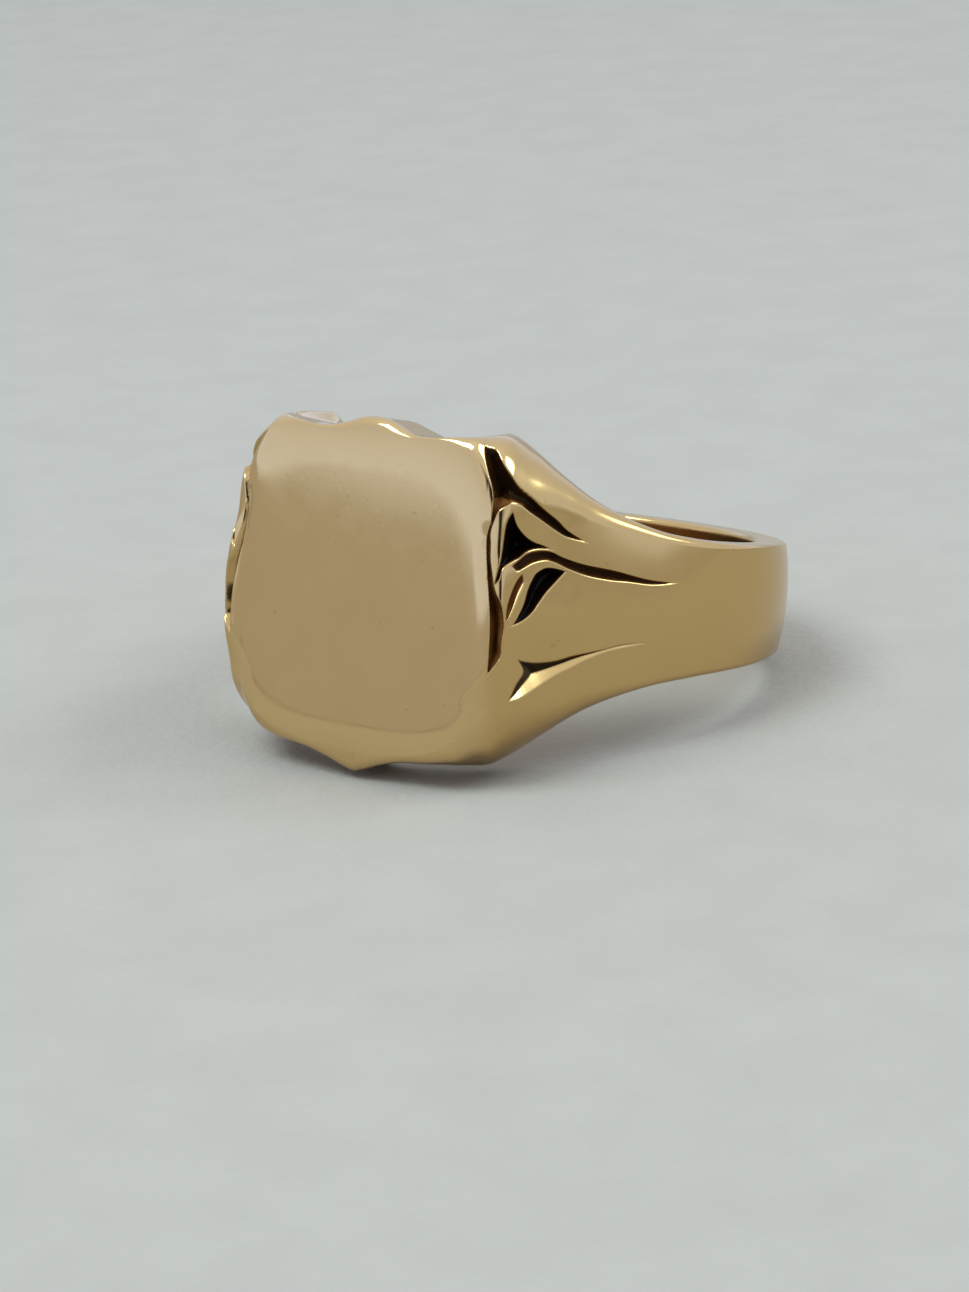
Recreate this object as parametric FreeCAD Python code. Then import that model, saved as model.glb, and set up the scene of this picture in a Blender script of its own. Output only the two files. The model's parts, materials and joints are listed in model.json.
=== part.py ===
"""Signet ring with a blank shield face and scroll-carved shoulders.

The ring is fabricated from a face plate, a head block, two carved shoulders and a D-section shank,
joined by thin films of hard solder.

Everything is drawn first in ring coordinates: the finger axis is Z, the face looks towards -Y, the
origin is the centre of the finger hole and the ring is its own mirror image about X = 0.
The finished pieces are then leaned back together, so that the ring lies the way it rests on a table,
on the lower edge of the head and the lower rim of the shank.
"""
import FreeCAD
import Part
import math
import os

Vector = FreeCAD.Vector

# Driving dimensions, in millimetres and degrees. Angles run round the finger from the face.
bore_radius = 9.25
shank_outer_radius = 10.75
face_distance = 11.75          # finger axis to the flat of the face
head_corner_x = 5.95           # where the plane of the face meets the slope of the shoulder
plate_thickness = 1.0
plate_edge_round = 0.35
head_taper = 0.93              # size of the head's outline where it is deepest, against the face
head_back_distance = 7.0       # finger axis to the deepest part of the head, beside the finger hole
solder_thickness = 0.05
head_joint_angle = 27.0        # the head block ends here, and a shoulder starts
shank_joint_angle = 72.0       # the shoulder ends here, and the shank starts
band_inner_radius = 8.6        # the band is drawn a little deeper than the finger hole, then bored

# Half of the shield's outline, as (x, z) points of five curves from the bottom point to the top one
bottom_ogee = [(0.0, -7.20), (1.35, -6.92), (2.50, -6.60), (3.30, -6.50)]
lower_corner = [(3.30, -6.50), (4.50, -6.20), (5.35, -5.50), (5.80, -4.50)]
side_bulge = [(5.80, -4.50), (6.15, -2.80), (6.25, -1.60), (6.05, 0.60), (5.75, 2.50)]
upper_corner = [(5.75, 2.50), (5.92, 3.50), (5.82, 4.60), (5.40, 5.70), (4.70, 6.42)]
top_scallop = [(4.70, 6.42), (3.75, 6.35), (2.60, 6.22), (1.30, 6.50), (0.0, 6.80)]
outline_curves = [bottom_ogee, lower_corner, side_bulge, upper_corner, top_scallop]

# The band along the slope of a shoulder: distance from the head's corner, half-width, dome, edge radius
slope_sections = [
    (-3.0, 6.40, 0.30, 1.60),
    (-1.0, 6.50, 0.30, 1.60),
    (0.5, 6.45, 0.35, 1.60),
    (2.0, 5.85, 0.45, 1.45),
    (3.5, 4.98, 0.50, 1.15),
    (5.0, 4.12, 0.45, 0.80),
    (6.5, 3.50, 0.35, 0.45),
]
# The band round the finger: angle, half-width, dome, edge radius
arc_sections = [
    (63.0, 3.08, 0.30, 0.35),
    (75.0, 2.72, 0.30, 0.30),
    (95.0, 2.42, 0.30, 0.30),
    (120.0, 2.20, 0.30, 0.30),
    (150.0, 2.05, 0.28, 0.30),
    (180.0, 2.00, 0.28, 0.30),
]

# Carved cuts in a shoulder, each a V that follows stations of (distance down the slope, height, width, depth)
edge_groove = [
    (0.10, 6.60, 0.30, 0.30),
    (0.25, 5.60, 0.70, 0.80),
    (0.45, 4.50, 0.95, 0.90),
    (0.15, 3.00, 0.40, 0.60),
    (0.20, 1.80, 0.50, 0.60),
    (0.55, 0.30, 0.80, 0.70),
    (0.65, -1.20, 0.70, 0.60),
    (0.60, -2.50, 0.10, 0.10),
]
upper_groove = [
    (0.60, 4.95, 0.50, 0.50),
    (1.20, 4.35, 0.80, 0.60),
    (2.10, 3.70, 0.60, 0.50),
    (3.30, 2.98, 0.45, 0.35),
    (4.40, 2.60, 0.08, 0.08),
]
leaf_hollow = [
    (0.85, 3.55, 0.20, 0.20),
    (1.00, 2.95, 0.75, 0.60),
    (1.15, 2.35, 0.85, 0.60),
    (1.10, 1.90, 0.10, 0.10),
]
scroll_hollow = [
    (3.45, 1.50, 0.08, 0.10),
    (2.50, 1.15, 0.85, 0.60),
    (1.95, 0.45, 0.60, 0.60),
    (1.60, -0.20, 0.35, 0.50),
    (1.00, -0.75, 0.08, 0.10),
]
middle_groove = [
    (2.20, 2.15, 0.08, 0.08),
    (3.30, 1.85, 0.35, 0.30),
    (5.00, 1.48, 0.35, 0.28),
    (7.00, 1.15, 0.28, 0.22),
    (8.60, 1.10, 0.06, 0.10),
]
lower_groove = [
    (1.30, -3.50, 0.08, 0.10),
    (2.20, -2.65, 0.85, 0.55),
    (3.20, -2.28, 0.60, 0.45),
    (4.50, -1.85, 0.35, 0.30),
    (6.20, -1.40, 0.20, 0.20),
    (7.40, -1.22, 0.06, 0.08),
]
shoulder_cuts = [edge_groove, upper_groove, leaf_hollow, scroll_hollow, middle_groove, lower_groove]
cut_lift = 0.35                # every cut starts this far above the slope, so that it breaks the surface

# The slope of the shoulder leaves the head's corner and touches the outside of the shank
corner_distance = math.hypot(head_corner_x, face_distance)
corner_angle = math.degrees(math.atan2(head_corner_x, face_distance))
slope_length = math.sqrt(corner_distance ** 2 - shank_outer_radius ** 2)
slope_angle = corner_angle + math.degrees(math.acos(shank_outer_radius / corner_distance))
slope_corner = Vector(head_corner_x, -face_distance, 0)

# The ring rests on the lower edge of the head beside the finger hole, and on the back of the shank
block_front = face_distance - plate_thickness - solder_thickness
taper_at_bore = 1 - (1 - head_taper) * (block_front - bore_radius) / (block_front - head_back_distance)
rest_drop = -bottom_ogee[0][1] * taper_at_bore - arc_sections[-1][1]
rest_length = bore_radius + shank_outer_radius - arc_sections[-1][2]
lean = math.degrees(math.atan2(rest_drop, rest_length))

far = 20.0                     # larger than the ring


def radial(angle):
    """Unit vector from the finger axis outwards, at an angle measured from the face towards +X."""
    return Vector(math.sin(math.radians(angle)), -math.cos(math.radians(angle)), 0)


def around(angle):
    """Unit vector along the band, at an angle measured from the face towards +X."""
    return Vector(math.cos(math.radians(angle)), math.sin(math.radians(angle)), 0)


def arc(start, middle, end):
    return Part.Arc(start, middle, end).toShape()


def band_section(angle, crest, half_width, dome, edge_round):
    """Closed D-shaped section of the band in the half-plane at one angle."""
    def place(radius, height):
        return radial(angle) * radius + Vector(0, 0, height)

    shoulder = crest - dome
    diagonal = edge_round * math.sqrt(0.5)
    inner_low = place(band_inner_radius, -half_width)
    inner_high = place(band_inner_radius, half_width)
    rim_high = place(shoulder - edge_round, half_width)
    rim_low = place(shoulder - edge_round, -half_width)
    dome_high = place(shoulder, half_width - edge_round)
    dome_low = place(shoulder, edge_round - half_width)
    round_high = place(shoulder - edge_round + diagonal, half_width - edge_round + diagonal)
    round_low = place(shoulder - edge_round + diagonal, edge_round - half_width - diagonal)
    edges = [
        Part.makeLine(inner_low, inner_high),
        Part.makeLine(inner_high, rim_high),
        arc(rim_high, round_high, dome_high),
        arc(dome_high, place(crest, 0), dome_low),
        arc(dome_low, round_low, rim_low),
        Part.makeLine(rim_low, inner_low),
    ]
    return Part.Wire(edges)


def make_band():
    """The plain band with both shoulders, open at the head and not yet bored."""
    half = []
    for distance, half_width, dome, edge_round in slope_sections:
        offset = math.atan2(slope_length - distance, shank_outer_radius)
        crest = shank_outer_radius / math.cos(offset)
        half.append((slope_angle - math.degrees(offset), crest, half_width, dome, edge_round))
    for angle, half_width, dome, edge_round in arc_sections:
        half.append((angle, shank_outer_radius, half_width, dome, edge_round))
    other = [(360.0 - row[0],) + row[1:] for row in reversed(half[:-1])]
    wires = [band_section(*row) for row in half + other]
    return Part.makeLoft(wires, True, False)


def make_outline(distance, scale):
    """Closed shield outline in the plane at this distance in front of the finger axis."""
    edges = []
    for side in (1, -1):
        for points in outline_curves:
            curve = Part.BSplineCurve()
            curve.interpolate([Vector(side * scale * x, -distance, scale * z) for x, z in points])
            edges.append(curve.toShape())
    return Part.Wire(Part.__sortEdges__(edges))


def shield_prism(front, back):
    """Straight prism of the shield's outline between two distances from the finger axis."""
    return Part.Face(make_outline(front, 1.0)).extrude(Vector(0, front - back, 0))


def slope_point(distance, height, lift):
    """Point at a distance down the slope of the right shoulder, at a height, lifted off its plane."""
    return slope_corner + around(slope_angle) * distance + Vector(0, 0, height) + radial(slope_angle) * lift


def vee_cut(stations):
    """Solid of a carved V that follows its stations down the right shoulder."""
    sections = []
    for index, (distance, height, width, depth) in enumerate(stations):
        before = stations[max(index - 1, 0)]
        after = stations[min(index + 1, len(stations) - 1)]
        heading = math.atan2(after[1] - before[1], after[0] - before[0])
        reach = 0.5 * width * (depth + cut_lift) / depth
        step_down = -math.sin(heading) * reach
        step_up = math.cos(heading) * reach
        left = slope_point(distance + step_down, height + step_up, cut_lift)
        right = slope_point(distance - step_down, height - step_up, cut_lift)
        floor = slope_point(distance, height, -depth)
        sections.append(Part.makePolygon([left, right, floor, left]))
    return Part.makeLoft(sections, True, True)


def upright_prism(corners):
    """Prism of a polygon in the ring's plane, tall enough to cut right through the ring."""
    face = Part.Face(Part.makePolygon(corners + corners[:1]))
    return face.extrude(Vector(0, 0, 2 * far)).translated(Vector(0, 0, -far))


def wedge(start, end):
    """Everything between two angles that are less than 90 degrees apart."""
    return upright_prism([Vector(0, 0, 0), radial(start) * far, radial(end) * far])


def joint_slab(angle):
    """Thin slab of solder on the half-plane at one angle, on one side of the finger axis."""
    half = around(angle) * (0.5 * solder_thickness)
    near_edge = radial(angle) * (0.5 * bore_radius)
    far_edge = radial(angle) * far
    return upright_prism([near_edge - half, far_edge - half, far_edge + half, near_edge + half])


def largest_solid(shape):
    return max(shape.Solids, key=lambda solid: solid.Volume)


def mirrored(shape):
    return shape.mirror(Vector(0, 0, 0), Vector(1, 0, 0))


def build_pieces():
    """All pieces in ring coordinates, by name."""
    bore = Part.makeCylinder(bore_radius, 2 * far, Vector(0, 0, -far), Vector(0, 0, 1))
    plate_back = face_distance - plate_thickness
    pieces = {}

    plate = shield_prism(face_distance, plate_back)
    front_edges = [edge for edge in plate.Edges if edge.BoundBox.YMax < -face_distance + 0.01]
    pieces["shield_face_plate"] = plate.makeFillet(plate_edge_round, front_edges)
    pieces["solder_face_seam"] = shield_prism(plate_back, block_front)

    outlines = [make_outline(block_front, 1.0), make_outline(head_back_distance, head_taper)]
    head = Part.makeLoft(outlines, True, True).cut(bore)
    band = make_band().cut(bore).cut(shield_prism(far, block_front))
    head_joint = joint_slab(head_joint_angle)
    shank_joint = joint_slab(shank_joint_angle)

    head_wedge = wedge(-head_joint_angle, head_joint_angle)
    pieces["head_block"] = head.common(head_wedge).cut(head_joint).cut(mirrored(head_joint))
    pieces["solder_shoulder_right"] = head.common(band).common(head_joint)
    pieces["solder_shank_right"] = band.common(shank_joint)

    shoulder = band.common(wedge(head_joint_angle, shank_joint_angle)).cut(head_joint).cut(shank_joint)
    pieces["shoulder_right"] = shoulder.cut(Part.makeCompound([vee_cut(cut) for cut in shoulder_cuts]))

    shank = band.cut(shank_joint).cut(mirrored(shank_joint))
    pieces["shank"] = max(shank.Solids, key=lambda solid: solid.CenterOfMass.y)
    for name in ("solder_shoulder", "solder_shank", "shoulder"):
        pieces[name + "_left"] = mirrored(pieces[name + "_right"])
    return pieces


def main():
    os.makedirs("parts", exist_ok=True)
    for name, shape in build_pieces().items():
        solid = largest_solid(shape)
        solid.rotate(Vector(0, 0, 0), Vector(1, 0, 0), -lean)
        solid.exportStep("parts/" + name + ".step")
        print(name, len(shape.Solids), solid.isValid(), round(solid.Volume, 3))


main()
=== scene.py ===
"""Looks of the signet ring: polished gold surfaces with a pillowed shield face and carved scroll shoulders.

The ring is described in ring coordinates, in millimetres: the finger axis is Z, the face looks towards -Y
and the ring is its own mirror image about X = 0. Its whole outside can be seen from the finger axis, so each
piece is a grid of an angle round the finger and a place on the band's section at that angle.
A point on a shoulder is also given by its distance down the slope from the head's corner and its height.
"""
import json
import math

import bpy
import numpy as np
from mathutils import Matrix, Vector


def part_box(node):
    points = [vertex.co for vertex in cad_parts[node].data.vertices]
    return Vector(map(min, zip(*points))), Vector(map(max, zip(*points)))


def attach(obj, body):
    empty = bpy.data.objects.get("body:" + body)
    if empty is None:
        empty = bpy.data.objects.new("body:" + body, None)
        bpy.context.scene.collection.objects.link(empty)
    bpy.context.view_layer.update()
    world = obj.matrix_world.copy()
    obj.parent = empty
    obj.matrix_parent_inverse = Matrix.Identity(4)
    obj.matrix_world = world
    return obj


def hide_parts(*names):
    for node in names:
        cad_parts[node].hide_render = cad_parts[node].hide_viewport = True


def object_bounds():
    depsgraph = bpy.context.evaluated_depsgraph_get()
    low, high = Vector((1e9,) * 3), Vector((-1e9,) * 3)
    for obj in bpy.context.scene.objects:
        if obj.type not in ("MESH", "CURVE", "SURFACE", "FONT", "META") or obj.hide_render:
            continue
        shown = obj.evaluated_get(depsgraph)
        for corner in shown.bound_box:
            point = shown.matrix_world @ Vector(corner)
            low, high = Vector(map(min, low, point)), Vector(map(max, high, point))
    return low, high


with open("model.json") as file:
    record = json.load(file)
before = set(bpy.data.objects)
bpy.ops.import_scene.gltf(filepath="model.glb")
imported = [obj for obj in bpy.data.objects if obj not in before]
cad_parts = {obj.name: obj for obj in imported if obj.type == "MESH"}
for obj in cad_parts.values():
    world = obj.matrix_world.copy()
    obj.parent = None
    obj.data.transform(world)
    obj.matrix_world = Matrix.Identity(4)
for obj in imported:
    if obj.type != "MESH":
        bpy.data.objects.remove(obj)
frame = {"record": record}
cad_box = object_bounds()
mounts = {mount["name"]: mount for mount in frame["record"]["mounts"]}

MM = 0.001
finger_axis = mounts["finger_hole"]["axis"]
lean = math.atan2(finger_axis[1], finger_axis[2])
bore_radius = mounts["finger_hole"]["dims"]["r_mm"]
face_distance = Vector(mounts["seal_face"]["pos_m"]).length / MM
shank_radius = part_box("shank")[1][0] / MM

# Head
head_corner_x = 5.95           # where the plane of the face meets the slope of the shoulder
plate_thickness = 1.0
solder_thickness = 0.05
plate_back = face_distance - plate_thickness
block_front = plate_back - solder_thickness
wall_taper = 0.085             # how fast the head narrows towards the finger
bore_edge_round = 0.18
least_wall = 0.15              # flat wall that is left between the two rounded edges
upper_corner_round = 0.50      # radius where the face turns into the slope, in the upper half of the head
lower_corner_extra = 1.8       # how much larger that radius is at the bottom of the head
wall_corner_round = 0.45       # the same radius for the section's edge rows
side_blend = (math.radians(19), math.radians(28))      # angles between which the head gives way to the band
normal_blend = (math.radians(20), math.radians(33))    # angles between which the face gives way to the slope
edge_power = 2.15              # 2 makes a round edge, and more makes its ends blend in softly

# Joints between the pieces
head_joint = math.radians(27.0)
shank_joint = math.radians(72.0)

# The slope leaves the head's corner and touches the outside of the shank
corner_distance = math.hypot(head_corner_x, face_distance)
corner_angle = math.atan2(head_corner_x, face_distance)
slope_length = math.sqrt(corner_distance ** 2 - shank_radius ** 2)
slope_angle = corner_angle + math.acos(shank_radius / corner_distance)
solder_angle = 0.5 * solder_thickness / corner_distance

# Rows of the section's grid
BORE_CORNER_ROWS = 5
WALL_ROWS = 4
CORNER_ROWS = 46
BORE_ROWS = 24
FINE_ROWS = 270
COARSE_ROWS = 60

# Height of the head's top and bottom edges against the distance from the middle
top_edge = [
    (0.0, 6.80), (0.6, 6.74), (1.3, 6.50), (2.1, 6.26), (2.9, 6.24), (3.8, 6.36), (4.7, 6.44), (6.0, 6.45),
]
bottom_edge = [
    (0.0, 7.22), (0.5, 7.10), (1.3, 6.82), (2.3, 6.55), (3.2, 6.48), (4.3, 6.42), (6.0, 6.38),
]
# Along the band, against the distance down the slope and on round the shank: half-width, how far the
# crown drops at the edges, and the radius of the top and bottom edges
band_width = [
    (-3.0, 6.42), (-1.0, 6.50), (0.5, 6.42), (2.0, 5.80), (3.5, 4.95), (5.0, 4.12), (6.5, 3.50),
    (7.8, 3.10), (10.0, 2.74), (13.8, 2.43), (18.5, 2.21), (24.0, 2.06), (30.0, 2.0),
]
band_crown = [(-0.5, 0.0), (0.8, 0.12), (2.5, 0.35), (5.0, 0.42), (8.0, 0.32), (30.0, 0.28)]
top_round = [
    (-9.0, 0.40), (-2.0, 0.45), (-1.0, 0.85), (-0.5, 1.45), (0.0, 1.95), (0.5, 2.15), (1.5, 2.10),
    (2.6, 1.70), (3.8, 1.20), (5.0, 0.85), (6.5, 0.50), (10.0, 0.32), (30.0, 0.30),
]
bottom_round = [
    (-9.0, 0.40), (-4.0, 0.45), (-2.6, 0.65), (-1.7, 0.95), (-1.0, 1.35), (-0.5, 1.80), (0.0, 2.20),
    (0.6, 2.40), (1.6, 2.30), (2.8, 1.80), (4.0, 1.30), (5.0, 0.95), (6.5, 0.55), (10.0, 0.32), (30.0, 0.30),
]
# How far the head's corner stands out past the slope, against height
corner_growth = [
    (-7.0, 0.0), (-5.6, 0.10), (-4.6, 0.23), (-3.6, 0.37), (-2.5, 0.46), (0.5, 0.50), (1.4, 0.40),
    (2.2, 0.26), (3.6, 0.20), (4.6, 0.08), (5.6, 0.0),
]

# Carved outlines on the right shoulder, (distance down the slope, height). A wall keeps its cut on its left.
face_edge = [
    (-0.7, 6.0), (-0.6, 5.7), (-0.35, 5.2), (-0.05, 4.6), (0.05, 4.1), (0.05, 3.45), (-0.1, 2.85),
    (-0.1, 2.35), (0.05, 1.3), (0.2, 0.5), (0.35, -0.55), (0.4, -1.65), (0.4, -2.5),
]
leaf_outside = [
    (0.4, -2.5), (0.8, -2.0), (0.95, -1.7), (0.95, -1.2), (1.0, -0.65), (0.95, -0.2), (0.8, 0.3),
    (0.55, 0.65), (0.4, 1.0), (0.3, 1.35), (0.15, 1.9), (0.1, 2.5), (0.05, 2.9), (0.2, 3.4),
    (0.4, 3.8), (0.9, 4.1), (1.1, 4.6),
]
ridge_line = [
    (4.4, 2.6), (3.5, 3.05), (3.0, 3.45), (2.4, 3.85), (1.8, 4.3), (1.2, 4.7), (0.7, 5.2),
    (0.25, 5.65), (-0.1, 6.0), (-0.6, 6.1),
]
leaf_top = [
    (0.3, 4.2), (0.9, 4.1), (1.3, 4.0), (1.7, 3.75), (2.3, 3.4), (2.9, 3.05), (3.45, 2.8), (4.4, 2.6),
]
leaf_inside_left = [
    (1.0, 3.8), (0.8, 3.5), (0.7, 3.15), (0.65, 2.55), (0.6, 1.9), (0.5, 1.35), (0.4, 0.9),
]
scroll_top = [
    (0.4, 0.9), (0.65, 1.2), (0.75, 1.6), (1.1, 1.85), (1.4, 2.0), (1.75, 2.25), (2.25, 2.35), (2.9, 2.3),
]
leaf_inside_right = [(2.9, 2.3), (2.4, 2.5), (1.95, 2.65), (1.55, 2.9), (1.2, 3.3), (1.0, 3.8)]
middle_top = [
    (8.6, 1.1), (7.4, 1.2), (6.6, 1.35), (5.7, 1.55), (4.45, 1.75), (3.8, 1.9), (3.3, 2.05),
    (2.8, 2.25), (2.3, 2.3), (1.75, 2.2), (1.4, 1.95), (1.1, 1.7),
]
middle_low = [
    (1.1, 1.7), (1.35, 1.5), (1.6, 1.6), (2.0, 1.8), (2.55, 1.9), (3.0, 1.8), (3.65, 1.55),
    (4.5, 1.3), (5.5, 1.15), (6.3, 1.1), (7.45, 1.0), (8.6, 1.1),
]
hollow_left = [
    (3.5, 1.5), (2.7, 1.65), (2.2, 1.45), (2.0, 1.15), (1.85, 0.8), (1.75, 0.35), (1.6, -0.05),
    (1.35, -0.5), (1.0, -0.65),
]
hollow_right = [
    (1.0, -0.65), (1.4, -0.55), (1.8, -0.35), (2.15, -0.05), (2.4, 0.3), (2.65, 0.65), (3.05, 1.05),
    (3.5, 1.5),
]
petal_left = [(1.6, 1.5), (1.3, 1.1), (1.1, 0.55), (1.0, 0.0), (1.05, -0.6)]
petal_right = [(1.05, -0.6), (1.3, 0.0), (1.5, 0.6), (1.7, 1.1), (1.6, 1.5)]
low_cut_top = [
    (7.5, -1.25), (6.35, -1.3), (5.2, -1.55), (4.1, -1.75), (3.3, -1.95), (2.5, -2.0), (1.8, -1.9),
    (1.45, -1.7),
]
low_cut_left = [(1.45, -1.7), (1.7, -2.0), (1.9, -2.4), (1.65, -2.85), (1.35, -3.55)]
low_cut_low = [
    (1.35, -3.55), (1.9, -3.4), (2.6, -3.0), (3.35, -2.55), (4.0, -2.25), (4.75, -1.9), (5.8, -1.55),
    (7.5, -1.25),
]
# Each cut: its walls with how steeply each goes down, its greatest depth, how softly its edges are rounded,
# and how dark its painted shade is, where about 0.65 paints it brown and 1 paints it black
cuts = [
    ([(face_edge, 2.4), (leaf_outside, 1.7), (ridge_line, 1.3)], 0.95, 0.05, 0.74),
    ([(face_edge, 2.4), (leaf_top, 1.9), (ridge_line, 1.3)], 0.85, 0.05, 0.93),
    ([(leaf_inside_left, 1.6), (scroll_top, 1.9), (leaf_inside_right, 1.5)], 0.75, 0.06, 1.0),
    ([(middle_top, 1.5), (middle_low, 1.5)], 0.32, 0.03, 0.90),
    ([(hollow_left, 2.0), (hollow_right, 1.5)], 0.60, 0.04, 1.0),
    ([(petal_left, 0.9), (petal_right, 0.9)], 0.22, 0.03, 0.60),
    ([(low_cut_top, 0.85), (low_cut_left, 1.1), (low_cut_low, 0.75)], 0.60, 0.03, 1.0),
]
unshaded_steepness = 0.8       # walls less steep than this get no painted shade and stay bright like the outside
darkening_depths = (0.01, 0.08)     # the painted shade in a cut starts at the first depth and is full at the second
left_shade_share = 0.2                # painted shade in the left shoulder's cuts, against the right one's
# Raised forms between the cuts: middle (distance, height), half-sizes, how far they stand proud
swells = [
    ((2.7, -0.4), (2.2, 1.9), 0.16),
    ((2.6, 4.2), (2.4, 1.2), 0.05),
]


def smooth_step(low, high, x):
    t = np.clip((x - low) / (high - low), 0.0, 1.0)
    return t * t * (3.0 - 2.0 * t)


def soft_max(a, b, width):
    """The larger of a and b, rounded over where they are within width of each other."""
    blend = np.clip(0.5 + 0.5 * (a - b) / width, 0.0, 1.0)
    return b + (a - b) * blend + width * blend * (1.0 - blend)


def soft_min(a, b, width):
    return -soft_max(-a, -b, width)


def along(points, x):
    """Smooth curve through (x, y) points, level beyond its ends."""
    px = np.array([p[0] for p in points])
    py = np.array([p[1] for p in points])
    step = np.diff(px)
    rise = np.diff(py) / step
    slope = np.zeros(len(px))
    slope[1:-1] = (rise[:-1] * step[1:] + rise[1:] * step[:-1]) / (step[1:] + step[:-1])
    x = np.clip(x, px[0], px[-1])
    i = np.clip(np.searchsorted(px, x) - 1, 0, len(px) - 2)
    t = (x - px[i]) / step[i]
    return (
        py[i] * (1 + 2 * t) * (1 - t) ** 2
        + slope[i] * step[i] * t * (1 - t) ** 2
        + py[i + 1] * t * t * (3 - 2 * t)
        + slope[i + 1] * step[i] * t * t * (t - 1)
    )


def rounded_path(points, per_span=5):
    """The outline's points joined by a smooth curve, as an array of closer points."""
    p = np.array([points[0]] + list(points) + [points[-1]], float)
    path = []
    for a, b, c, d in zip(p, p[1:], p[2:], p[3:]):
        for t in np.arange(per_span) / per_span:
            squared = (2 * a - 5 * b + 4 * c - d) * t * t
            cubed = (3 * b - a - 3 * c + d) * t ** 3
            path.append(0.5 * (2 * b + (c - a) * t + squared + cubed))
    path.append(p[-1])
    return np.array(path)


def left_of(path, q, z):
    """Signed distance of points from an open path, positive on its left."""
    best = np.full(q.shape, np.inf)
    signed = np.zeros(q.shape)
    for a, b in zip(path[:-1], path[1:]):
        along_x, along_z = b - a
        length = math.hypot(along_x, along_z)
        if length < 1e-9:
            continue
        dq = q - a[0]
        dz = z - a[1]
        t = np.clip((dq * along_x + dz * along_z) / length ** 2, 0.0, 1.0)
        away = np.hypot(dq - t * along_x, dz - t * along_z)
        side = (along_x * dz - along_z * dq) / length
        nearer = away - 1e-4 * np.abs(side) < best
        best = np.where(nearer, away - 1e-4 * np.abs(side), best)
        signed = np.where(nearer, np.where(side >= 0, away, -away), signed)
    return signed


def carving(q, z):
    """How deep the cuts are at points on a shoulder, and how dark their painted shade is, 0 to 1."""
    depth = np.zeros(q.shape)
    cut_rouge_and_shade = np.zeros(q.shape)
    margin = 0.5
    for walls, deepest, softness, darkness in cuts:
        outline = np.array([point for wall, steepness in walls for point in wall])
        low = outline.min(axis=0) - margin
        high = outline.max(axis=0) + margin
        near = (q > low[0]) & (q < high[0]) & (z > low[1]) & (z < high[1])
        if not near.any():
            continue
        inside = np.full(near.sum(), deepest)
        flank = np.full(near.sum(), deepest + 1.0)
        for wall, steepness in walls:
            wall_depth = left_of(rounded_path(wall), q[near], z[near]) * steepness
            inside = soft_min(inside, wall_depth, softness)
            if steepness < unshaded_steepness:
                flank = np.minimum(flank, wall_depth)
        cut = soft_max(inside, 0.0, softness)
        depth[near] = np.maximum(depth[near], cut)
        # Painted shade on a cut's steep walls, none on its gentle flanks, which stay bright
        darkened = darkness * smooth_step(*darkening_depths, cut) * smooth_step(0.008, 0.02, flank - inside)
        cut_rouge_and_shade[near] = np.maximum(cut_rouge_and_shade[near], darkened)
    return depth, cut_rouge_and_shade


def swelling(q, z):
    """How far the raised forms stand proud at points on a shoulder."""
    height = np.zeros(q.shape)
    for middle, size, proud in swells:
        away = ((q - middle[0]) / size[0]) ** 2 + ((z - middle[1]) / size[1]) ** 2
        height += proud * np.clip(1.0 - away, 0.0, None) ** 2
    return height


def slope_distance(phi):
    """Distance down the slope, and on round the shank, at an angle from the face."""
    on_slope = np.minimum(phi, slope_angle)
    return slope_length - shank_radius * np.tan(slope_angle - on_slope) + shank_radius * (phi - on_slope)


def plain_radius(phi, corner_round, growth=0.0):
    """Distance from the finger axis to the uncarved outside, with the slope moved outwards by growth."""
    reach = shank_radius + growth
    inset = face_distance - corner_round
    centre_x = (reach - corner_round - inset * math.cos(slope_angle)) / math.sin(slope_angle)
    centre = np.hypot(centre_x, inset)
    centre_angle = np.arctan2(centre_x, inset)
    start = np.arctan2(centre_x, face_distance)
    end_x = centre_x + corner_round * math.sin(slope_angle)
    end = np.arctan2(end_x, inset + corner_round * math.cos(slope_angle))
    inside = np.clip(corner_round ** 2 - (centre * np.sin(phi - centre_angle)) ** 2, 0.0, None)
    corner = centre * np.cos(phi - centre_angle) + np.sqrt(inside)
    face = face_distance / np.cos(np.minimum(phi, 1.0))
    slope = reach / np.cos(np.maximum(slope_angle - phi, 0.0))
    return np.where(phi < start, face, np.where(phi < end, corner, slope))


def facing(phi):
    """Cosine of the angle between the outside's normal and the line from the finger axis."""
    on_face = np.cos(np.minimum(phi, 1.0))
    on_slope = np.cos(np.clip(slope_angle - phi, 0.0, 1.0))
    return on_face + (on_slope - on_face) * smooth_step(*normal_blend, phi)


def edge_height(phi, radius, side):
    """How far the section's edge is from the middle plane. side is 1 for the top and -1 for the bottom."""
    across = radius * np.sin(np.minimum(phi, 1.0))
    behind = np.clip(face_distance - radius * np.cos(phi), 0.0, None)
    head = along(top_edge if side > 0 else bottom_edge, across) - wall_taper * behind
    band = along(band_width, slope_distance(phi))
    return head + (band - head) * smooth_step(*side_blend, phi)


def pillow(across, q, z):
    """How far the low pillow of the face drops at a point. It rolls off faster towards the face's edges."""
    whole_face = 0.05 * ((across / 6.0) ** 2 + (z / 6.5) ** 2)
    outwards = ((across / 6.2) ** 4 + (np.abs(z) / 6.6) ** 4) ** 0.25
    near_edges = 0.12 * np.clip((outwards - 0.68) / 0.32, 0.0, 1.3) ** 3
    to_side = np.clip(-left_of(rounded_path(face_edge), q, z), 0.0, None)
    beside_cut = 0.09 * np.clip(1.0 - to_side / 0.8, 0.0, 1.0) ** 2.5 * (1.0 - smooth_step(1.6, 3.0, -z))
    return whole_face + near_edges + beside_cut


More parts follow.
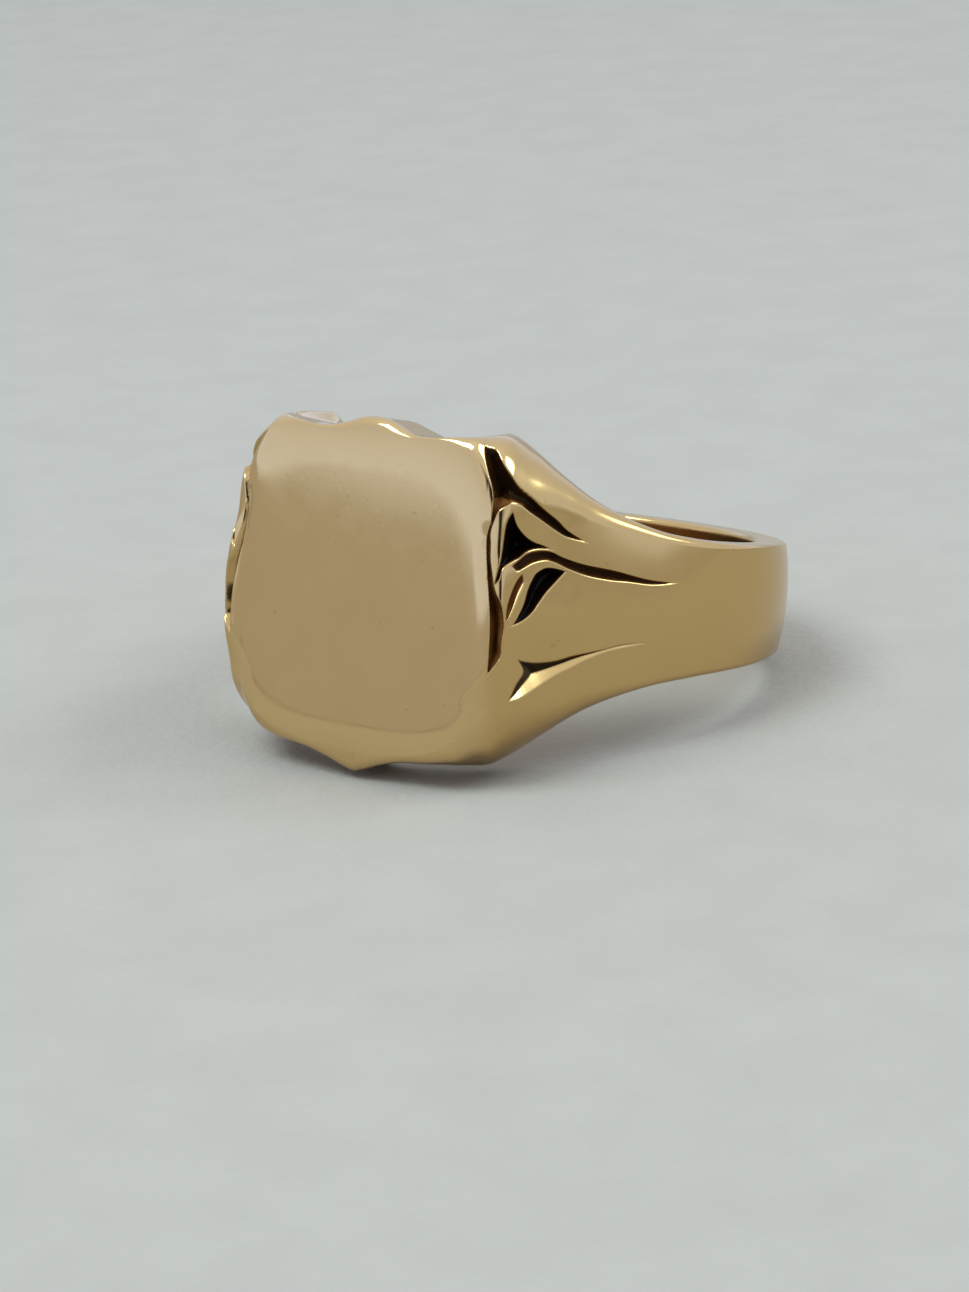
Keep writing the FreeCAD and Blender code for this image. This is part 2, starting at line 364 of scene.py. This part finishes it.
def outside_radius(phi, z):
    """Distance from the finger axis to the finished outside."""
    q = slope_distance(phi)
    below = smooth_step(1.9, 4.0, -z)
    growth = along(corner_growth, z) * (1.0 - smooth_step(0.8, 3.6, q))
    radius = plain_radius(phi, upper_corner_round + lower_corner_extra * below, growth)
    half = np.where(z > 0, edge_height(phi, radius, 1), edge_height(phi, radius, -1))
    level = np.abs(z) / half
    across = radius * np.sin(np.minimum(phi, 1.0))
    on_face = 1.0 - smooth_step(-0.3, 0.9, q)
    drop = along(band_crown, q) * level ** 2 + on_face * pillow(across, q, z)
    to_edge = np.clip(half - np.abs(z), 0.0, None)
    uncut_rim = smooth_step(0.05, 0.45, to_edge)
    return radius - (drop + carving(q, z)[0] * uncut_rim - swelling(q, z)) / facing(phi)


def corner_rows(phi, side):
    """Rows round the outer edge of the section, from the wall to the outside. side is 1 for the top edge."""
    turn = np.linspace(math.pi / 2, 0.0, CORNER_ROWS)[None, :]
    rise = np.sin(turn) ** (2.0 / edge_power)
    run = np.cos(turn) ** (2.0 / edge_power)
    rim = outside_radius(phi, side * edge_height(phi, plain_radius(phi, wall_corner_round), side))
    room = (rim - bore_radius - bore_edge_round - least_wall) * facing(phi)
    edge = soft_min(along(top_round if side > 0 else bottom_round, slope_distance(phi)), room, 0.1)
    inward = edge / facing(phi) * (1.0 - run)
    height = edge_height(phi, plain_radius(phi, wall_corner_round) - inward, side) - edge * (1.0 - rise)
    return outside_radius(phi + 0.0 * height, side * height) - inward, side * height


def wall_rows(phi, side, outer_end):
    """Rows up the section's wall, from the finger hole outwards, with a row on each joint of the head."""
    on_head = phi < head_joint
    start = bore_radius + bore_edge_round
    run = outer_end - start
    flat = np.cos(np.minimum(phi, 1.0))
    back = np.where(on_head, np.minimum(plate_back / flat, outer_end - 0.1 * run), start + 0.66 * run)
    front = np.where(on_head, back - (plate_back - block_front) / flat, start + 0.6 * run)
    inner_rows = [start + (front - start) * step / WALL_ROWS for step in range(WALL_ROWS)]
    outer_rows = [back + (outer_end - back) * step / WALL_ROWS for step in range(WALL_ROWS)]
    radius = np.concatenate(inner_rows + [front] + outer_rows, axis=1)
    return radius, side * edge_height(phi, radius, side)


def bore_corner_rows(phi, side):
    """Rows round the edge of the finger hole, from the hole to the wall."""
    turn = np.linspace(0.0, math.pi / 2, BORE_CORNER_ROWS + 1)[None, :-1]
    radius = bore_radius + bore_edge_round * (1.0 - np.cos(turn)) + 0.0 * phi
    height = edge_height(phi, bore_radius + 0.0 * phi, side) - bore_edge_round * (1.0 - np.sin(turn))
    return radius, side * height


def section(phi, outer_rows):
    """Closed section of the band at each angle, as arrays (angles, rows) of radius and height.

    It runs from the finger hole up the top wall, over the outside, down the bottom wall and back through
    the finger hole.
    """
    phi = phi[:, None]
    top = corner_rows(phi, 1)
    low = corner_rows(phi, -1)
    fraction = np.linspace(0.0, 1.0, outer_rows + 2)[None, 1:-1]
    outer_z = top[1][:, -1:] + (low[1][:, -1:] - top[1][:, -1:]) * fraction
    outer = outside_radius(phi + 0.0 * outer_z, outer_z), outer_z
    wall_top = wall_rows(phi, 1, top[0][:, :1])
    wall_low = wall_rows(phi, -1, low[0][:, :1])
    bend_top = bore_corner_rows(phi, 1)
    bend_low = bore_corner_rows(phi, -1)
    fraction = np.linspace(0.0, 1.0, BORE_ROWS + 2)[None, 1:-1]
    bore_z = bend_low[1][:, :1] + (bend_top[1][:, :1] - bend_low[1][:, :1]) * fraction
    bore = bore_radius + 0.0 * bore_z, bore_z
    back = [(radius[:, ::-1], height[:, ::-1]) for radius, height in (low, wall_low, bend_low)]
    parts = [bend_top, wall_top, top, outer] + back + [bore]
    return np.concatenate([p[0] for p in parts], axis=1), np.concatenate([p[1] for p in parts], axis=1)


def ring_points(phi, outer_rows):
    """Points of the section's grid in ring coordinates. Angles run from 0 to a full turn, or below 0."""
    folded = np.abs(phi)
    folded = np.minimum(folded, 2.0 * math.pi - folded)
    radius, height = section(folded, outer_rows)
    return np.stack([radius * np.sin(phi)[:, None], -radius * np.cos(phi)[:, None], height], axis=-1)


def skin(phi, outer_rows):
    """Points and outward unit normals of the ring's surface on a grid of angles and rows."""
    nudge = 0.0004
    points = ring_points(phi, outer_rows)
    round_ring = ring_points(phi + nudge, outer_rows) - ring_points(phi - nudge, outer_rows)
    ahead = np.roll(points, -1, axis=1) - points
    behind = points - np.roll(points, 1, axis=1)
    ahead_length = np.linalg.norm(ahead, axis=-1, keepdims=True) + 1e-9
    behind_length = np.linalg.norm(behind, axis=-1, keepdims=True) + 1e-9
    round_section = ahead / ahead_length ** 2 + behind / behind_length ** 2
    normals = np.cross(round_section, round_ring)
    normals /= np.linalg.norm(normals, axis=-1, keepdims=True) + 1e-12
    return points, normals


def lean_back(points):
    """From ring coordinates in millimetres to the frame in metres."""
    turn = np.array([[1, 0, 0], [0, math.cos(lean), math.sin(lean)], [0, -math.sin(lean), math.cos(lean)]])
    return points @ turn.T


def make_piece(name, grid, rows, material):
    """A closed mesh from chosen rows of a grid, closed by flat joint faces and one cap at each end."""
    points, normals = grid
    columns = len(points)
    total = points.shape[1]
    count = len(rows)
    place = lean_back(points[:, rows]) * MM
    outward = lean_back(normals[:, rows])
    index = np.arange(columns * count).reshape(columns, count)
    following = np.roll(index, -1, axis=1)
    quads = np.stack([index[:-1], following[:-1], following[1:], index[1:]], axis=-1).reshape(-1, 4)
    smooth = np.array([(rows[(k + 1) % count] - rows[k]) % total == 1 for k in range(count)])
    smooth = np.tile(smooth, columns - 1)
    faces = quads.tolist() + [index[0][::-1].tolist(), index[-1].tolist()]
    mesh = bpy.data.meshes.new(name)
    mesh.from_pydata(place.reshape(-1, 3).tolist(), [], faces)
    mesh.update()
    corner_normals = outward.reshape(-1, 3)[quads]
    flat = np.zeros(len(mesh.polygons) * 3)
    mesh.polygons.foreach_get("normal", flat)
    flat = flat.reshape(-1, 3)
    corner_normals[~smooth] = flat[:-2][~smooth][:, None, :]
    caps = [np.tile(flat[-2], (count, 1)), np.tile(flat[-1], (count, 1))]
    mesh.normals_split_custom_set(np.concatenate([corner_normals.reshape(-1, 3)] + caps).tolist())
    # Points carry how dark the painted shade in the carving is
    recess = mesh.attributes.new("rouge_and_painted_shade", "FLOAT", "POINT")
    recess.data.foreach_set("value", rouge_and_painted_shade(points[:, rows]).reshape(-1))
    # and how strongly the shoulders are darkened by painted shade and made rougher, away from the face
    distance = slope_distance(np.abs(np.arctan2(points[:, rows, 0], -points[:, rows, 1])))
    shade_and_wear = mesh.attributes.new("shoulder_shade_and_wear", "FLOAT", "POINT")
    shade_and_wear.data.foreach_set("value", smooth_step(-0.4, 1.2, distance).reshape(-1))
    mesh.materials.append(material)
    piece = bpy.data.objects.new(name, mesh)
    bpy.context.scene.collection.objects.link(piece)
    return piece


def rouge_and_painted_shade(points):
    """How dark the painted shade in the carving is at each point, 0 to 1, fainter on the left shoulder."""
    phi = np.abs(np.arctan2(points[..., 0], -points[..., 1]))
    outside = np.hypot(points[..., 0], points[..., 1]) > bore_radius + 0.05
    cut_rouge_and_shade = carving(slope_distance(phi), points[..., 2])[1] * outside
    # The left shoulder gets a fainter painted shade
    return np.where(points[..., 0] < 0, left_shade_share * cut_rouge_and_shade, cut_rouge_and_shade)


def angle_at(q):
    """Angle from the middle of the face at a distance down the slope."""
    on_slope = slope_angle - np.arctan((slope_length - q) / shank_radius)
    return np.where(q < slope_length, on_slope, slope_angle + (q - slope_length) / shank_radius)


def steps(start, stop, size):
    """Evenly spaced values from start to stop, about size apart, without the last."""
    return np.linspace(start, stop, max(2, round((stop - start) / size) + 1))[:-1]


# Columns of each part of the ring
groove_start = -1.3
carved_end = 4.2
head_end = head_joint - solder_angle
shoulder_start = head_joint + solder_angle
shoulder_end = shank_joint - solder_angle
shank_start = shank_joint + solder_angle
half_head = np.concatenate([
    steps(0.0, float(angle_at(groove_start)), 0.012),
    angle_at(steps(groove_start, float(slope_distance(head_end)), 0.03)),
    [head_end],
])
head_angles = np.concatenate([-half_head[:0:-1], half_head])
shoulder_angles = np.concatenate([
    angle_at(steps(float(slope_distance(shoulder_start)), carved_end, 0.03)),
    angle_at(steps(carved_end, float(slope_distance(shoulder_end)), 0.08)),
    [shoulder_end],
])
shank_angles = np.append(steps(shank_start, 2.0 * math.pi - shank_start, math.radians(2.0)),
                         2.0 * math.pi - shank_start)

# Rows of each layer of the head
total_rows = BORE_ROWS + FINE_ROWS + 2 * (BORE_CORNER_ROWS + 2 * WALL_ROWS + 1 + CORNER_ROWS)
block_row = BORE_CORNER_ROWS + WALL_ROWS
plate_row = block_row + 1
low_block_row = total_rows - BORE_ROWS - 1 - block_row
low_plate_row = low_block_row - 1
plate_rows = list(range(plate_row, low_plate_row + 1))
solder_rows = [block_row, plate_row, low_plate_row, low_block_row]
block_rows = list(range(low_block_row, total_rows)) + list(range(block_row + 1))
all_rows = list(range(total_rows))


# Materials
def node(tree, kind, **settings):
    made = tree.nodes.new(kind)
    for name, value in settings.items():
        setattr(made, name, value)
    return made


def set_inputs(made, **values):
    for name, value in values.items():
        made.inputs[name.replace("_", " ")].default_value = value


def noise(tree, coordinates, scale, detail):
    made = node(tree, "ShaderNodeTexNoise")
    set_inputs(made, Scale=scale, Detail=detail, Roughness=0.55)
    tree.links.new(coordinates, made.inputs["Vector"])
    return made.outputs["Fac"]


def ranged(tree, value, start, stop, low, high):
    made = node(tree, "ShaderNodeMapRange", interpolation_type="SMOOTHSTEP")
    made.inputs[1].default_value = start
    made.inputs[2].default_value = stop
    made.inputs[3].default_value = low
    made.inputs[4].default_value = high
    tree.links.new(value, made.inputs[0])
    return made.outputs[0]


def mixed(tree, share, first, second):
    """A colour between two, each a plain colour or another node's output."""
    made = node(tree, "ShaderNodeMix", data_type="RGBA")
    tree.links.new(share, made.inputs[0])
    for socket, colour in ((made.inputs[6], first), (made.inputs[7], second)):
        if isinstance(colour, tuple):
            socket.default_value = (*colour, 1.0)
        else:
            tree.links.new(colour, socket)
    return made.outputs[2]


# Colours of the painted shade on the shoulders, of the gold's specks, and of the carving: rouge browns that
# also paint its shade, and black painted shade where it is darkest
shoulder_shade_gold = (0.60, 0.395, 0.152)
speck_brown = (0.30, 0.17, 0.06)
rouge_and_shade_browns = (0.10, 0.034, 0.008), (0.20, 0.078, 0.018)
painted_shade_black = (0.004, 0.002, 0.001)
worn_roughness = 0.11          # how much rougher the gold is where it is worn


def gold(name, polished, dulled, smoothest, roughest):
    """Polished gold with faint handling marks, rougher and darkened by painted shade away from the face, and
    with painted shade in the carving.
    """
    material = bpy.data.materials.new(name)
    material.use_nodes = True
    tree = material.node_tree
    shader = tree.nodes["Principled BSDF"]
    shader.inputs["Specular IOR Level"].default_value = 0.1
    place = node(tree, "ShaderNodeTexCoord").outputs["Object"]
    recess = node(tree, "ShaderNodeAttribute", attribute_name="rouge_and_painted_shade").outputs["Fac"]
    shoulder_shade_and_wear = node(tree, "ShaderNodeAttribute", attribute_name="shoulder_shade_and_wear").outputs["Fac"]
    cloudy = ranged(tree, noise(tree, place, 420.0, 3.0), 0.35, 0.70, 0.0, 0.35)
    colour = mixed(tree, cloudy, polished, dulled)
    # Painted shade: the shoulders turn a darker gold away from the face
    colour = mixed(tree, ranged(tree, shoulder_shade_and_wear, 0.0, 1.0, 0.0, 0.75), colour, shoulder_shade_gold)
    specks = ranged(tree, noise(tree, place, 2600.0, 2.0), 0.70, 0.76, 0.0, 0.25)
    colour = mixed(tree, specks, colour, speck_brown)
    # Painted shade in the carving: mottled rouge brown, then black where darkest
    cut_mottle = ranged(tree, noise(tree, place, 1100.0, 2.0), 0.35, 0.65, 0.0, 1.0)
    cut_brown = mixed(tree, cut_mottle, *rouge_and_shade_browns)
    colour = mixed(tree, ranged(tree, recess, 0.0, 0.55, 0.0, 1.0), colour, cut_brown)
    colour = mixed(tree, ranged(tree, recess, 0.65, 1.0, 0.0, 1.0), colour, painted_shade_black)
    tree.links.new(colour, shader.inputs["Base Color"])
    # The painted shade in the carving is also made less metallic, so it reflects little
    tree.links.new(ranged(tree, recess, 0.25, 0.90, 1.0, 0.0), shader.inputs["Metallic"])
    handled = ranged(tree, noise(tree, place, 900.0, 6.0), 0.30, 0.75, smoothest, roughest)
    rough = node(tree, "ShaderNodeMath", operation="MULTIPLY_ADD")
    rough.inputs[1].default_value = worn_roughness
    tree.links.new(shoulder_shade_and_wear, rough.inputs[0])
    tree.links.new(handled, rough.inputs[2])
    tree.links.new(rough.outputs[0], shader.inputs["Roughness"])
    stretch = node(tree, "ShaderNodeMapping")
    set_inputs(stretch, Rotation=(0.3, 0.5, 0.9), Scale=(9000.0, 700.0, 2500.0))
    tree.links.new(place, stretch.inputs["Vector"])
    scratches = ranged(tree, noise(tree, stretch.outputs["Vector"], 1.0, 2.0), 0.55, 0.80, 0.0, 1.0)
    bump = node(tree, "ShaderNodeBump")
    set_inputs(bump, Strength=0.05, Distance=0.00001)
    tree.links.new(scratches, bump.inputs["Height"])
    tree.links.new(bump.outputs["Normal"], shader.inputs["Normal"])
    return material


ring_gold = gold("gold", (0.665, 0.465, 0.222), (0.63, 0.43, 0.192), 0.045, 0.085)
solder_gold = gold("solder", (0.65, 0.45, 0.215), (0.61, 0.42, 0.187), 0.06, 0.11)

# Pieces
head_grid = skin(head_angles, FINE_ROWS)
shoulder_grid = skin(shoulder_angles, FINE_ROWS)
left_shoulder_grid = skin(-shoulder_angles[::-1], FINE_ROWS)
shank_grid = skin(shank_angles, COARSE_ROWS)
film_angles = solder_angle * np.array([-1.0, 1.0])
coarse_rows = list(range(total_rows - FINE_ROWS + COARSE_ROWS))

# Each piece: the CAD piece it stands for, its grid, its rows and its material
pieces = [
    ("shield_face_plate", head_grid, plate_rows, "gold"),
    ("solder_face_seam", head_grid, solder_rows, "solder"),
    ("head_block", head_grid, block_rows, "gold"),
    ("solder_shoulder_right", skin(film_angles + head_joint, FINE_ROWS), all_rows, "solder"),
    ("solder_shoulder_left", skin(film_angles - head_joint, FINE_ROWS), all_rows, "solder"),
    ("shoulder_right", shoulder_grid, all_rows, "gold"),
    ("shoulder_left", left_shoulder_grid, all_rows, "gold"),
    ("solder_shank_right", skin(film_angles + shank_joint, COARSE_ROWS), coarse_rows, "solder"),
    ("solder_shank_left", skin(film_angles - shank_joint, COARSE_ROWS), coarse_rows, "solder"),
    ("shank", shank_grid, coarse_rows, "gold"),
]
finishes = {"gold": ring_gold, "solder": solder_gold}
for name, grid, rows, finish in pieces:
    piece = make_piece(name + "_finish", grid, rows, finishes[finish])
    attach(piece, "root")
    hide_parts(name)

# Floor
floor_z = cad_box[0][2]
floor_half = 1.5
floor_mesh = bpy.data.meshes.new("floor")
floor_corners = [(-1, -1), (1, -1), (1, 1), (-1, 1)]
floor_points = [(x * floor_half, y * floor_half, floor_z) for x, y in floor_corners]
floor_mesh.from_pydata(floor_points, [], [(0, 1, 2, 3)])
floor = bpy.data.objects.new("floor", floor_mesh)
bpy.context.scene.collection.objects.link(floor)
cloth = bpy.data.materials.new("cloth")
cloth.use_nodes = True
tree = cloth.node_tree
place = node(tree, "ShaderNodeTexCoord").outputs["Object"]
mottle = ranged(tree, noise(tree, place, 260.0, 5.0), 0.3, 0.7, 0.0, 1.0)
shade = mixed(tree, mottle, (0.350, 0.323, 0.278), (0.366, 0.338, 0.291))
tree.links.new(shade, tree.nodes["Principled BSDF"].inputs["Base Color"])
set_inputs(tree.nodes["Principled BSDF"], Roughness=0.95)
grain = node(tree, "ShaderNodeBump")
set_inputs(grain, Strength=0.35, Distance=0.0002)
tree.links.new(noise(tree, place, 2200.0, 3.0), grain.inputs["Height"])
tree.links.new(grain.outputs["Normal"], tree.nodes["Principled BSDF"].inputs["Normal"])
floor_mesh.materials.append(cloth)

# Camera, in front of the ring and to its right, looking a little down
azimuth = math.radians(36.004)
elevation = math.radians(18.899)
roll = math.radians(4.221)
camera_place = Vector((0.095145, -0.134226, 0.053379))
level_back = Vector((math.sin(azimuth), -math.cos(azimuth), 0.0))
back = level_back * math.cos(elevation) + Vector((0.0, 0.0, math.sin(elevation)))
right = Vector((math.cos(azimuth), math.sin(azimuth), 0.0))
up = back.cross(right)
rolled_right = right * math.cos(roll) - up * math.sin(roll)
rolled_up = right * math.sin(roll) + up * math.cos(roll)
camera_data = bpy.data.cameras.new("camera")
camera_data.sensor_width = 36.0
camera_data.lens = 117.03
camera_data.clip_start = 0.01
camera = bpy.data.objects.new("camera", camera_data)
camera_turn = Matrix((rolled_right, rolled_up, back)).transposed().to_4x4()
camera.matrix_world = Matrix.Translation(camera_place) @ camera_turn
bpy.context.scene.collection.objects.link(camera)
bpy.context.scene.camera = camera

# Studio light: a soft surrounding glow, brighter overhead, with the dark end of the room behind the camera
world = bpy.data.worlds.new("studio")
world.use_nodes = True
bpy.context.scene.world = world
tree = world.node_tree
direction = node(tree, "ShaderNodeTexCoord").outputs["Generated"]
split = node(tree, "ShaderNodeSeparateXYZ")
tree.links.new(direction, split.inputs[0])
glow = node(tree, "ShaderNodeValToRGB")
ramp = glow.color_ramp
stops = [
    (0.00, (0.53, 0.55, 0.56)), (0.116, (0.545, 0.575, 0.61)), (0.139, (0.87, 1.02, 1.42)),
    (0.35, (0.76, 0.86, 1.08)), (0.75, (0.86, 0.93, 1.05)), (1.00, (1.03, 1.13, 1.26)),
]
while len(ramp.elements) < len(stops):
    ramp.elements.new(0.5)
for element, (position, colour) in zip(ramp.elements, stops):
    element.position = position
    element.color = (*colour, 1.0)
tree.links.new(split.outputs["Z"], glow.inputs["Fac"])
toward = node(tree, "ShaderNodeVectorMath", operation="DOT_PRODUCT")
toward.inputs[1].default_value = back
tree.links.new(direction, toward.inputs[0])
dark_from = math.cos(math.radians(26))
dark_full = math.cos(math.radians(14))
dark_end = ranged(tree, toward.outputs["Value"], dark_from, dark_full, 0.0, 1.0)
surroundings = mixed(tree, dark_end, glow.outputs["Color"], (0.03, 0.03, 0.03))
tree.links.new(surroundings, tree.nodes["Background"].inputs["Color"])


def softbox(name, toward, distance, size, power, colour):
    """A square lamp that faces the ring."""
    lamp = bpy.data.lights.new(name, "AREA")
    lamp.shape = "SQUARE"
    lamp.size = size
    lamp.energy = power
    lamp.color = colour
    holder = bpy.data.objects.new(name, lamp)
    toward = Vector(toward).normalized()
    holder.location = toward * distance
    holder.rotation_euler = toward.to_track_quat("Z", "Y").to_euler()
    bpy.context.scene.collection.objects.link(holder)


cool_white = (0.80, 0.95, 1.0)
softbox("overhead", (-0.24, -0.42, 0.88), 0.45, 0.22, 1.3, cool_white)
softbox("side", (0.60, 0.40, 0.70), 0.45, 0.22, 0.8, cool_white)

bpy.context.scene.view_settings.view_transform = "Standard"
